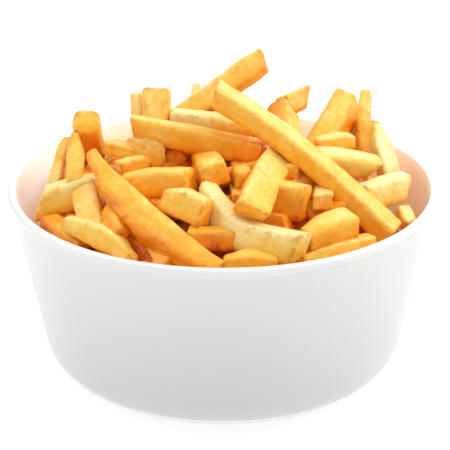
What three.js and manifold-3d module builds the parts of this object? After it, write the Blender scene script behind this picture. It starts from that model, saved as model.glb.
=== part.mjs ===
// A portion of french fries heaped in a round white bowl.
// Millimetres, +Z up. The origin is the middle of the bowl's foot, on the table.
// The bowl is one turned solid. The fries are one heap: a plain core that fills the
// bowl, with every fry that shows fused onto it at true size.
import * as THREE from "three";
import { mergeVertices } from "three/addons/utils/BufferGeometryUtils.js";
import Module from "manifold-3d";

// ---- Driving dimensions of the bowl ----
const RIM_RADIUS = 85; // outside of the lip
const HEIGHT = 76; // table to the top of the lip
const TOE_RADIUS = 69; // where the straight wall, carried down, meets the table
const CORNER_RADIUS = 17; // round between the wall and the foot
const WALL = 2.8;
const FLOOR = 5; // inside floor above the table
const INNER_CORNER_RADIUS = 16;
const LIP_PROUD = 0.5; // how far the lip stands out from the wall
const LIP_DEEP = 3.4; // height of the lip
const LIP_ROUND = 1.1; // rounding of the lip's upper edges
const LIP_CORNER = 0.3; // share of that rounding at its middle point
const FOOT_RING = 5; // width of the ring that stands on the table
const FOOT_HOLLOW = 1.6; // recess inside that ring
const BOWL_SIDES = 72;
const CORNER_STEPS = 4;

// ---- Driving dimensions of the heap ----
const GAP = 0.4; // room between the fries and the bowl
const CROWN = 24; // middle of the heap above the lip
const HEAP_RADIUS = 80; // where the heap's crown runs out
const BACK_REACH = 60; // distance behind the middle where the back slope is full
const BACK_FLATTER = 0.35; // share of the crown that the back slope loses
const BACK_DROP = 6; // the heap lies lower towards the back wall
const SIDE_START = 52; // distance to the left or right where the sides fall away
const SIDE_REACH = 26;
const SIDE_DROP = 13;
const CORE_BELOW = 10.5; // top of the core under the top of the heap
const CORE_SHOULDER = 58; // height at which the core leaves the wall
const CORE_SIDES = 36;
const CORE_RINGS = [74, 62, 47, 31, 16, 0]; // radii of the rings of the core's top

// ---- Driving dimensions of a fry ----
const BLUNT_EDGE = 0.3; // share of a half width that the long edges lose
const ROUND_EDGE = 0.55; // the same for a fry cut from the round side of a potato
const TAPER_REACH = 0.45; // share of the length over which an end narrows
const FRY_STEPS = 3; // straight lengths that a fry is made of
const LONG_STEPS = 5;
const FILLER_STEPS = 1;
const END_SKEW = 0.35; // steepest slant of a cut end
const END_CLEAR = 6; // middle of an end to the bowl's wall, at least
const SHORTEST = 18; // a fry laid by rule that would be shorter is left out

// ---- The fries that lie on top, placed one by one ----
// Each has the middles of its two ends, the width and depth of its section, and, where
// they aren't plain, its roll in degrees about its own length, its bow as how far the
// middle is pushed sideways and up, the share of the section left at each end, and the
// slope of each cut end across and up the section.
const fry = (from, to, wide, deep, more = {}) => ({
  from,
  to,
  wide,
  deep,
  roll: 0,
  bow: [0, 0],
  ends: [1, 1],
  blunt: BLUNT_EDGE,
  steps: more.bow || more.ends ? FRY_STEPS : 1,
  ...more,
});

const SQUARE = [[0, 0], [0, 0]]; // slopes of two ends that are cut straight

const LONG_FRIES = [
  fry([-50, -22, 95.8], [-1, -74, 70.5], 12, 13, { roll: 68, bow: [5, -2], ends: [0.42, 0.6] }),
  fry([-3, -10, 116.7], [64, -38, 69], 11, 9, {
    roll: 3,
    bow: [-1.5, 2.4],
    ends: [1, 1.2],
    slants: [[0.3, -0.4], [0, 0]],
  }),
  fry([-35, -9, 102.4], [15, -13, 93], 8, 10.5, {
    roll: 5,
    ends: [0.88, 1],
    slants: [[0, -0.45], [0, 0]],
  }),
  fry([24, -3, 92], [10, -62, 88.5], 12, 9, {
    roll: 38,
    bow: [0, 1],
    ends: [0.95, 1.1],
    slants: [[0, 0], [0.45, 0.6]],
  }),
  fry([-7, -37, 87], [28.5, -68.5, 77.2], 10, 12.5, {
    roll: 10,
    bow: [6.5, -2.5],
    ends: [0.8, 1],
    slants: SQUARE,
  }),
  fry([-20, 6, 98.5], [16.5, 13.8, 122.2], 10, 9.5, {
    roll: 35,
    ends: [0.9, 1],
    slants: [[0, 0], [0, 0.3]],
  }),
];

const MIDDLE_FRIES = [
  fry([-21, 2, 101], [10.5, -6, 96], 8, 10.5, { bow: [0, 2], ends: [0.85, 0.95] }),
  fry([-26.3, 11, 111], [-26.3, -1, 90], 11, 8, { slants: SQUARE }),
  fry([-34.5, 16, 107.5], [-33.5, 4, 87.5], 4.5, 6),
  fry([-11, 24, 108.5], [-12, 8, 90.5], 3.5, 6),
  fry([-28.5, -14, 93.8], [-28.5, 18, 88], 13.5, 12, { slants: SQUARE }),
  fry([-38, -30, 85.5], [-12, -38, 91], 10, 10.5, { roll: 10, bow: [0, 1] }),
  fry([-21, -46, 87], [-6, -55, 85.2], 9, 11, { roll: 15, bow: [0, 1], ends: [0.8, 1] }),
  fry([-3, -38, 93.5], [-7.5, -8, 89.5], 11, 9, { roll: 10 }),
  fry([8, -36, 91], [5, -6, 86], 7, 7),
  fry([6.5, -44, 86], [5, -20, 82], 6, 6),
  fry([17, -36, 85], [31, -42, 83.7], 10, 14, { roll: 12 }),
  fry([24, -28, 90], [30, 0, 86], 10, 8),
];

const LEFT_FRIES = [
  fry([-46, -8, 93.8], [-34, -13, 93.5], 6, 5.5, { bow: [0, 0.5], ends: [0.9, 0.7] }),
  fry([-40.5, -18, 89.2], [-30, -14, 90.5], 7, 5.5, { ends: [0.8, 1] }),
  fry([-48, -50, 75.5], [-52.5, -26, 82], 10, 9, { roll: 20, ends: [0.9, 1] }),
  fry([-71, -22, 75.3], [-47, -23, 82], 9, 12, { bow: [0, 1], slants: [[0, 0.7], [0, 0]] }),
  fry([-53.5, -2, 102], [-52.5, 14, 83], 11, 11.5, { slants: SQUARE, blunt: ROUND_EDGE }),
  fry([-57.5, -4, 97.7], [-57, -23, 83], 7, 7, { roll: 10, ends: [0.5, 1] }),
  fry([-61, 6, 92.5], [-64, -2, 84], 5, 5.5, { ends: [0.6, 0.9] }),
  fry([-63.8, -3, 86], [-66.3, -16, 77.5], 5, 6, { ends: [0.8, 1] }),
];

const FRONT_FRIES = [
  fry([-59, -45, 77.5], [-33, -66, 71.5], 10.5, 9, { roll: 20, bow: [-2, 1], ends: [0.7, 0.45] }),
  fry([-40, -44, 74], [-24, -64, 66.5], 9, 9, { roll: 30, ends: [0.8, 0.7] }),
  fry([-42, -43, 80.5], [-37.5, -57, 77], 9, 9, { roll: 30, ends: [0.9, 0.8] }),
  fry([-55, -49, 72], [-48, -30, 69], 8, 8, { ends: [0.8, 1] }),
  fry([-67, -28, 70.5], [-52, -50, 69.5], 8, 8, { ends: [0.9, 0.9] }),
  fry([-13, -60, 78], [12, -58, 77], 8, 8),
  fry([0, -71, 72.5], [20, -71, 72.5], 8, 7, { bow: [0, 1], ends: [0.8, 0.8] }),
  fry([28, -67, 70.5], [56, -50, 71], 8, 8, { roll: 10, bow: [0, 1], ends: [0.8, 1] }),
  fry([30, -62, 77], [48, -50, 79.8], 10.5, 10.5, {
    roll: -8,
    bow: [0, 1],
    ends: [0.75, 1],
    slants: SQUARE,
  }),
];

const RIGHT_FRIES = [
  fry([35, -14, 89.5], [58, -10, 86], 11.5, 10, {
    roll: -5,
    bow: [0, 1],
    ends: [1, 0.8],
    slants: [[0, 0], [0, 0.9]],
  }),
  fry([53, -27, 80], [70, -15.5, 80.5], 8.5, 11, { roll: 5, ends: [1, 0.95], slants: [[0, 0], [0, 0.4]] }),
  fry([37, -40, 83.5], [40, -15, 80], 7.5, 7),
  fry([-7, 14, 98], [15.5, 4, 95], 9, 10),
  fry([69, -23, 74], [71.5, -30.5, 69.5], 5.5, 6),
  fry([37, -4, 88], [50.5, 26, 101.5], 12.5, 12, { roll: 5, ends: [1, 0.85] }),
  fry([58.8, 40, 100], [56.5, 24, 83.5], 5.5, 6, { ends: [0.8, 1] }),
  fry([60.5, 11, 97], [66, -5, 77], 8, 7, { roll: 10, ends: [0.35, 1] }),
  fry([57.5, 14, 96.8], [58.5, 2, 80], 10, 7),
  fry([36, -6, 94], [50.5, -1, 94], 7, 6),
  fry([54.8, 25, 98], [53.8, 12, 85], 6, 6),
  fry([24, 17, 101.5], [32.5, 25, 102.5], 8, 8.5, { roll: 30, slants: [[0, 0], [0, 1]] }),
  fry([23.5, 9, 102], [25.5, 0, 93], 10, 10, { roll: 45, slants: [[-0.9, -0.2], [0, 0]] }),
];

const PLACED_FRIES = [
  ...LONG_FRIES.map((piece) => ({ ...piece, steps: LONG_STEPS })),
  ...MIDDLE_FRIES,
  ...LEFT_FRIES,
  ...FRONT_FRIES,
  ...RIGHT_FRIES,
];

// The layers of fries that are laid by rule: how many spiral places, how far under the
// heap's top, the turn of the spiral, its reach, how far an end may rise over the layer,
// and the places that are used.
const LAYERS = [
  { places: 24, below: 11, turn: 1, reach: 70, rise: 2.5, used: (x, y) => y > -38 },
  { places: 44, below: 8, turn: 2, reach: 60, rise: 2.5, used: (x, y) => y > 14 },
  { places: 60, below: 6, turn: 3, reach: 74, rise: 2.5, used: (x, y) => y > 20 && Math.hypot(x, y) > 56 },
];

const GOLDEN_ANGLE = 2.39996;
const FILLER_LENGTH = [45, 30]; // least, and how much more at most
const FILLER_WIDTH = [7.5, 2.5];
const FILLER_DEPTH = [7.5, 2];
const FILLER_TILT = 0.5;
const FILLER_ROLL = 90;
const FILLER_ENDS = [0.9, 0.9];
const LAYER_SEEDS = 31; // step between the seeds of two layers
const TRIM = 2; // step by which a fry is shortened

// ---- Small helpers ----
const MERGE = 1e-3; // vertices closer than this are one
const wasm = await Module();
wasm.setup();

const vector = (p) => new THREE.Vector3(...p);

// A repeatable number from 0 to 1 for each pair of whole numbers.
function chance(i, k) {
  const v = Math.sin(i * 12.9898 + k * 78.233) * 43758.5453;
  return v - Math.floor(v);
}

function ease(t) {
  const c = THREE.MathUtils.clamp(t, 0, 1);
  return c * c * (3 - 2 * c);
}

// The geometry with shared vertices and without the faces that collapsed.
function closed(geometry) {
  geometry.deleteAttribute("normal");
  geometry.deleteAttribute("uv");
  const merged = mergeVertices(geometry, MERGE);
  const kept = [];
  const all = merged.index.array;
  for (let i = 0; i < all.length; i += 3) {
    const [a, b, c] = [all[i], all[i + 1], all[i + 2]];
    if (a !== b && b !== c && a !== c) kept.push(a, b, c);
  }
  merged.setIndex(kept);
  return merged;
}

function toSolid(geometry) {
  const g = closed(geometry);
  return new wasm.Manifold(
    new wasm.Mesh({
      numProp: 3,
      vertProperties: g.attributes.position.array,
      triVerts: new Uint32Array(g.index.array),
    }),
  );
}

// The faces of a solid, with the copies that the library keeps of a vertex made one.
function toGeometry(solid) {
  const mesh = solid.getMesh();
  const owner = Array.from({ length: mesh.numVert }, (_, i) => i);
  mesh.mergeFromVert?.forEach((copy, i) => (owner[copy] = mesh.mergeToVert[i]));
  const g = new THREE.BufferGeometry();
  g.setAttribute("position", new THREE.BufferAttribute(mesh.vertProperties, 3));
  g.setIndex(Array.from(mesh.triVerts, (v) => owner[v]));
  return g;
}

// A profile of [radius, height] pairs turned about the Z axis.
function turned(profile, sides) {
  const points = profile.map(([r, z]) => new THREE.Vector2(r, z));
  return new THREE.LatheGeometry(points, sides).rotateX(Math.PI / 2);
}

// ---- The bowl ----
const SLOPE = (RIM_RADIUS - LIP_PROUD - TOE_RADIUS) / HEIGHT; // outward run for each rise
const LEAN = Math.atan(SLOPE);
const wallOutside = (z) => TOE_RADIUS + SLOPE * z;
const wallInside = (z) => wallOutside(z) - WALL / Math.cos(LEAN);

// The arc that rounds the meeting of a flat floor and the leaning wall, floor end first.
function cornerArc(toe, floor, radius) {
  const sweep = Math.PI / 2 - LEAN;
  const middle = toe - radius * Math.tan(sweep / 2);
  return Array.from({ length: CORNER_STEPS + 1 }, (_, i) => {
    const a = (sweep * i) / CORNER_STEPS;
    return [middle + radius * Math.sin(a), floor + radius * (1 - Math.cos(a))];
  });
}

function makeBowl() {
  const outerCorner = cornerArc(TOE_RADIUS, 0, CORNER_RADIUS);
  const innerCorner = cornerArc(wallInside(FLOOR), FLOOR, INNER_CORNER_RADIUS);
  const footIn = outerCorner[0][0] - FOOT_RING;
  const lipLow = HEIGHT - LIP_DEEP;
  const profile = [
    [0, FOOT_HOLLOW],
    [footIn - FOOT_HOLLOW, FOOT_HOLLOW],
    [footIn, 0],
    ...outerCorner,
    [wallOutside(lipLow - LIP_PROUD), lipLow - LIP_PROUD],
    [wallOutside(lipLow) + LIP_PROUD, lipLow + LIP_PROUD],
    [RIM_RADIUS, HEIGHT - LIP_ROUND],
    [RIM_RADIUS - LIP_CORNER * LIP_ROUND, HEIGHT - LIP_CORNER * LIP_ROUND],
    [RIM_RADIUS - LIP_ROUND, HEIGHT],
    [wallInside(HEIGHT) + LIP_ROUND, HEIGHT],
    [wallInside(HEIGHT) + LIP_CORNER * LIP_ROUND, HEIGHT - LIP_CORNER * LIP_ROUND],
    [wallInside(HEIGHT - LIP_ROUND), HEIGHT - LIP_ROUND],
    ...innerCorner.reverse(),
    [0, FLOOR],
  ];
  return closed(turned(profile, BOWL_SIDES));
}

// ---- The form of the heap ----
// Height of the heap's top over a point: a crown that runs out at the lip, lower and
// flatter towards the back, and lower against the left and right walls.
function heapTop(x, y) {
  const r = Math.hypot(x, y);
  const back = THREE.MathUtils.clamp(y / BACK_REACH, 0, 1);
  const crown = CROWN * (1 - (r / HEAP_RADIUS) ** 2) * (1 - BACK_FLATTER * back);
  const side = SIDE_DROP * ease((Math.abs(x) - SIDE_START) / SIDE_REACH);
  return HEIGHT + crown - BACK_DROP * back - side;
}

// The core: a plug that fills the bowl up to its shoulder, under a crown.
function makeCore() {
  const floor = FLOOR + GAP;
  const corner = cornerArc(wallInside(floor) - GAP, floor, INNER_CORNER_RADIUS);
  const profile = [
    [0, floor],
    ...corner,
    [wallInside(CORE_SHOULDER) - GAP, CORE_SHOULDER],
    ...CORE_RINGS.map((r) => [r, HEIGHT]),
  ];
  const plug = closed(turned(profile, CORE_SIDES));
  const at = plug.attributes.position;
  for (let i = 0; i < at.count; i += 1) {
    if (at.getZ(i) > CORE_SHOULDER + 1) {
      at.setZ(i, heapTop(at.getX(i), at.getY(i)) - CORE_BELOW);
    }
  }
  return toSolid(plug);
}

// ---- A fry ----
// A square section from -1 to 1 each way, with its corners cut off by a share.
function section(blunt) {
  const e = 1 - blunt;
  const square = [[1, -1], [1, 1], [-1, 1], [-1, -1]];
  const octagon = [[1, -e], [1, e], [e, 1], [-e, 1], [-1, e], [-1, -e], [-e, -1], [e, -1]];
  const corners = blunt > 0 ? octagon : square;
  return new THREE.Shape(corners.map(([p, q]) => new THREE.Vector2(p, q)));
}

// The three directions of a fry: along it, across it, and up from it.
function directions({ from, to, roll }) {
  const along = vector(to).sub(vector(from)).normalize();
  const level = new THREE.Vector3().crossVectors(along, new THREE.Vector3(0, 0, 1)).normalize();
  const upright = new THREE.Vector3().crossVectors(level, along);
  const turn = THREE.MathUtils.degToRad(roll);
  const across = level.clone().multiplyScalar(Math.cos(turn)).addScaledVector(upright, Math.sin(turn));
  const up = upright.clone().multiplyScalar(Math.cos(turn)).addScaledVector(level, -Math.sin(turn));
  return { along, level, upright, across, up };
}

// A straight bar of that section, bent, narrowed at its ends and cut off on a slant.
function makeFry(piece, number) {
  const bar = new THREE.ExtrudeGeometry(section(piece.blunt), {
    depth: 1,
    steps: piece.steps,
    bevelEnabled: false,
  });
  const { along, level, upright, across, up } = directions(piece);
  const from = vector(piece.from);
  const length = vector(piece.to).distanceTo(from);
  const drawn = [7, 8].map((kind) => [END_SKEW * (2 * chance(number, kind) - 1), 0]);
  const [near, far] = piece.slants ?? drawn;
  const at = bar.attributes.position;
  for (let i = 0; i < at.count; i += 1) {
    const t = at.getZ(i);
    const [first, last] = piece.ends;
    const left = first + (1 - first) * ease(t / TAPER_REACH);
    const right = last + (1 - last) * ease((1 - t) / TAPER_REACH);
    const p = (-at.getX(i) * left * right * piece.wide) / 2; // seen from the far end
    const q = (at.getY(i) * left * right * piece.deep) / 2;
    const nearCut = (1 - t) ** 4 * (near[0] * p + near[1] * q);
    const farCut = t ** 4 * (far[0] * p + far[1] * q);
    const bend = 4 * t * (1 - t);
    const point = from
      .clone()
      .addScaledVector(along, t * length + nearCut + farCut)
      .addScaledVector(level, bend * piece.bow[0])
      .addScaledVector(upright, bend * piece.bow[1])
      .addScaledVector(across, p)
      .addScaledVector(up, q);
    at.setXYZ(i, point.x, point.y, point.z);
  }
  return toSolid(bar);
}

// ---- The fries laid by rule ----
function fits(point, roof) {
  const clear = Math.hypot(point.x, point.y) < wallInside(Math.min(point.z, HEIGHT)) - END_CLEAR;
  return clear && point.z < roof;
}

// The end of a fry that starts in the middle and is shortened until it fits.
function reach(middle, heading, length, { below, rise }) {
  for (let l = length / 2; l > TRIM; l -= TRIM) {
    const end = middle.clone().addScaledVector(heading, l);
    if (fits(end, heapTop(end.x, end.y) - below + rise)) return end;
  }
  return middle.clone();
}

// A layer of fries on a sunflower spiral, each turned and tilted by chance.
function layFries(layer) {
  const laid = [];
  for (let i = 0; i < layer.places; i += 1) {
    const r = layer.reach * Math.sqrt((i + 0.5) / layer.places);
    const angle = i * GOLDEN_ANGLE + layer.turn;
    const [x, y] = [r * Math.cos(angle), r * Math.sin(angle)];
    if (!layer.used(x, y)) continue;
    const seed = i + LAYER_SEEDS * layer.turn;
    const pick = ([least, more], k) => least + more * chance(seed, k);
    const turned = Math.PI * chance(seed, 1);
    const tilt = FILLER_TILT * (chance(seed, 2) - 0.5);
    const heading = new THREE.Vector3(
      Math.cos(turned) * Math.cos(tilt),
      Math.sin(turned) * Math.cos(tilt),
      Math.sin(tilt),
    );
    const middle = new THREE.Vector3(x, y, heapTop(x, y) - layer.below);
    const length = pick(FILLER_LENGTH, 3);
    const from = reach(middle, heading.clone().negate(), length, layer);
    const to = reach(middle, heading, length, layer);
    if (from.distanceTo(to) < SHORTEST) continue;
    laid.push(
      fry(from.toArray(), to.toArray(), pick(FILLER_WIDTH, 4), pick(FILLER_DEPTH, 5), {
        roll: FILLER_ROLL * chance(seed, 6),
        ends: FILLER_ENDS,
        blunt: 0,
        steps: FILLER_STEPS,
      }),
    );
  }
  return laid;
}

// The largest body of a solid, without what hangs on it by less than a merge distance.
function oneBody(solid) {
  const bodies = solid.decompose();
  const largest = bodies.reduce((best, body) => (body.volume() > best.volume() ? body : best));
  const faces = toGeometry(largest);
  const again = toSolid(faces.clone());
  return again.decompose().length === 1 ? faces : oneBody(again);
}

// The heap as one body: what fusing seals off inside is filled, and loose scraps go.
function makeHeap() {
  const pieces = [...PLACED_FRIES, ...LAYERS.flatMap(layFries)];
  const fused = pieces.reduce((heap, piece, i) => heap.add(makeFry(piece, i)), makeCore());
  return oneBody(fused);
}

// ---- The portion ----
function mesh(name, geometry, color, roughness) {
  const made = new THREE.Mesh(
    geometry,
    new THREE.MeshStandardMaterial({ color, roughness, metalness: 0 }),
  );
  made.name = name;
  return made;
}

const portion = new THREE.Group();
portion.add(mesh("bowl", makeBowl(), 0xf4f5f6, 0.2));
portion.add(mesh("fries", makeHeap(), 0xf6be52, 0.55));

export default portion;
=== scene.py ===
"""A portion of french fries heaped in a round white bowl.

The bowl is one glazed piece turned about the Z axis. The fries are real ones, each a
closed surface of its own, laid over a bed that fills the bowl. The bowl and the fries are
given in millimetres, and MM turns them into the scene's metres; the studio is given in
metres. +Z is up, the front is towards -Y, and the origin is the middle of the bowl's foot.
"""

import logging
import math
from collections.abc import Mapping, Sequence
from dataclasses import dataclass
from enum import Enum

import bpy
import numpy as np
from bpy.types import ID, Material, Node, NodeSocket, Object
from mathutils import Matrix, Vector


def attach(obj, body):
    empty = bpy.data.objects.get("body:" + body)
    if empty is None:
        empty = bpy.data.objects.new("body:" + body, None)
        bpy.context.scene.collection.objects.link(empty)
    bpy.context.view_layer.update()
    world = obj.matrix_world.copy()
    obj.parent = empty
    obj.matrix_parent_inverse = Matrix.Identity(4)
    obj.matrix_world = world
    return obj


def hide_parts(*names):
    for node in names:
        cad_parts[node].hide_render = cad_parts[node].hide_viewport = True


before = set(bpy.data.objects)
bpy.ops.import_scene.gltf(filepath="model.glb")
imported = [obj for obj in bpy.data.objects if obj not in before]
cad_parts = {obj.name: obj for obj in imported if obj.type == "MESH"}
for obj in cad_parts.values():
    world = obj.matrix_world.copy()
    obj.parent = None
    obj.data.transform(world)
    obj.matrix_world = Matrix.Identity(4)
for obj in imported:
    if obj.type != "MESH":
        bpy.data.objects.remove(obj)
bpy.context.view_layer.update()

LOG = logging.getLogger("french_fries")
MM = 0.001
GOLDEN_ANGLE = 2.39996
DRAW_WEIGHTS = (12.9898, 78.233)  # of the two numbers that name a draw
DRAW_STRETCH = 43758.5453
WAVES = 7  # plane waves in a ripple
WAVE_SPREAD = (0.7, 1.4)  # their lengths, as shares of the one asked for

Array = np.ndarray
Number = Array | float
Pair = tuple[float, float]
Triple = tuple[float, float, float]

BLACK: Triple = (0.0, 0.0, 0.0)
WHITE: Triple = (1.0, 1.0, 1.0)


# ------ numbers and noise


def chance(number: int, kind: int) -> float:
    """Give a repeatable draw from 0 to 1: the fraction of a large sine of a weighted sum."""
    value = math.sin(number * DRAW_WEIGHTS[0] + kind * DRAW_WEIGHTS[1]) * DRAW_STRETCH
    return value - math.floor(value)


def swings(number: int, kinds: Sequence[int]) -> list[float]:
    """Give a repeatable draw from -1 to 1 of each kind for a fry's number."""
    return [2.0 * chance(number, kind) - 1.0 for kind in kinds]


def ease(t: Number) -> Array:
    """Give the smooth step 3t^2 - 2t^3, held at 0 below t = 0 and at 1 above t = 1."""
    held = np.clip(t, 0.0, 1.0)
    return held * held * (3.0 - 2.0 * held)


def side_by_side(*coordinates: Array | Sequence[float] | float) -> Array:
    """Put coordinates side by side on a new last axis, stretched to one shape."""
    return np.stack(np.broadcast_arrays(*coordinates), axis=-1)


def ripple(points: Array, seed: int, wavelength: float) -> Array:
    """Give a smooth unevenness over points in space.

    It is the sum of plane sine waves in seeded random directions, each of about the given
    wavelength, divided by the square root of half their number, so it spreads about 1.

    Args:
        points: Points, with their three coordinates on the last axis.
        seed: The seed of the draws.
        wavelength: The length of a wave, in the points' unit.

    Returns:
        One value for each point.
    """
    random = np.random.default_rng(seed)
    ways = random.normal(size=(WAVES, 3))
    ways /= np.linalg.norm(ways, axis=1, keepdims=True)
    turns = 2.0 * math.pi * ways / (wavelength * random.uniform(*WAVE_SPREAD, (WAVES, 1)))
    phases = random.uniform(0.0, 2.0 * math.pi, WAVES)
    return np.sin(points @ turns.T + phases).sum(axis=-1) / math.sqrt(WAVES / 2.0)


# ------ meshes


@dataclass
class Surface:
    """The points, faces and point values of a mesh, held as whole arrays."""

    points: Array  # positions in millimetres, one row each
    corners: Array  # the faces' point numbers, one after another
    sizes: Array  # how many corners each face has
    values: dict[str, Array]  # named numbers, one for each point

    @staticmethod
    def closed(rings: Array, values: Mapping[str, Number]) -> "Surface":
        """Close a grid of rings with a point at each end.

        A point of the grid joins the one beside it and the same two in the next row; the
        columns run round and meet. The first and the last row each shrink to their mean,
        where a fan of triangles meets.

        Args:
            rings: Positions by row, column and coordinate, columns turning to the right
                of the way the rows run.
            values: Numbers that stretch to the grid's rows and columns.

        Returns:
            The closed surface, facing out.
        """
        rows, columns, _ = rings.shape
        first, last = rings[0].mean(axis=0), rings[-1].mean(axis=0)
        points = np.vstack([first, rings[1:-1].reshape(-1, 3), last])
        here = 1 + np.arange((rows - 2) * columns).reshape(-1, columns)
        beside = np.roll(here, -1, axis=1)
        quads = side_by_side(here[:-1], beside[:-1], beside[1:], here[1:])
        first_fan = side_by_side(0, beside[0], here[0])
        last_fan = side_by_side(here[-1], beside[-1], len(points) - 1)
        corners = np.concatenate([faces.reshape(-1) for faces in (quads, first_fan, last_fan)])
        sizes = np.concatenate([np.full(quads.size // 4, 4), np.full(2 * columns, 3)])
        kept = {}
        for name, value in values.items():
            v = np.broadcast_to(value, (rows, columns))
            kept[name] = np.concatenate([[v[0].mean()], v[1:-1].reshape(-1), [v[-1].mean()]])
        return Surface(points, corners, sizes, kept)

    @staticmethod
    def joined(parts: Sequence["Surface"]) -> "Surface":
        """Put several surfaces into one, with their point numbers moved on.

        Args:
            parts: The surfaces, all with the same named values.

        Returns:
            The one surface.
        """
        starts = np.cumsum([0] + [len(part.points) for part in parts[:-1]])
        names = parts[0].values
        return Surface(
            np.concatenate([part.points for part in parts]),
            np.concatenate([part.corners + start for part, start in zip(parts, starts)]),
            np.concatenate([part.sizes for part in parts]),
            {name: np.concatenate([part.values[name] for part in parts]) for name in names},
        )

    def piece(self, name: str, material: Material, slot: str) -> Object:
        """Make the surface an object that rides on the part's root body.

        Args:
            name: The object's name.
            material: The finish that it wears.
            slot: Not used.

        Returns:
            The object, at the origin, with its place in its mesh.
        """
        mesh = bpy.data.meshes.new(name)
        mesh.vertices.add(len(self.points))
        mesh.vertices.foreach_set("co", (self.points * MM).astype(np.float32).reshape(-1))
        mesh.loops.add(len(self.corners))
        mesh.loops.foreach_set("vertex_index", self.corners.astype(np.int32))
        mesh.polygons.add(len(self.sizes))
        starts = (np.cumsum(self.sizes) - self.sizes).astype(np.int32)
        mesh.polygons.foreach_set("loop_start", starts)
        mesh.polygons.foreach_set("use_smooth", np.ones(len(self.sizes), dtype=bool))
        mesh.update(calc_edges=True)
        for label, numbers in self.values.items():
            layer = mesh.attributes.new(label, "FLOAT", "POINT")
            layer.data.foreach_set("value", numbers.astype(np.float32))
        mesh.validate()
        mesh.materials.append(material)
        made = bpy.data.objects.new(name, mesh)
        bpy.context.scene.collection.objects.link(made)
        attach(made, "root")
        LOG.info("%s: %d triangles", name, int((self.sizes - 2).sum()))
        return made


# ------ shader maths


@dataclass(frozen=True)
class Value:
    """A number that varies over a surface; Python's operators add Math nodes to it."""

    shop: "Shop"  # the material that it belongs to
    socket: NodeSocket  # the output that gives it

    def _math(self, operation: str, *terms: "Value | float") -> "Value":
        """Add a Math node of that operation over the terms."""
        return self.shop.value("ShaderNodeMath", 0, dict(enumerate(terms)), operation=operation)

    def __add__(self, other: "Value | float") -> "Value":
        """Add the other."""
        return self._math("ADD", self, other)

    __radd__ = __add__

    def __sub__(self, other: "Value | float") -> "Value":
        """Take the other away."""
        return self._math("SUBTRACT", self, other)

    def __rsub__(self, other: "Value | float") -> "Value":
        """Take this away from the other."""
        return self._math("SUBTRACT", other, self)

    def __mul__(self, other: "Value | float") -> "Value":
        """Multiply by the other."""
        return self._math("MULTIPLY", self, other)

    __rmul__ = __mul__

    def step(self, low: float, high: float) -> "Value":
        """Rise smoothly from 0 where this is low to 1 where it is high."""
        ends = {"Value": self, "From Min": low, "From Max": high}
        return self.shop.value("ShaderNodeMapRange", 0, ends, interpolation_type="SMOOTHSTEP")


Input = Value | NodeSocket | float | Triple
Inputs = Mapping[str | int, Input]


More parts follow.
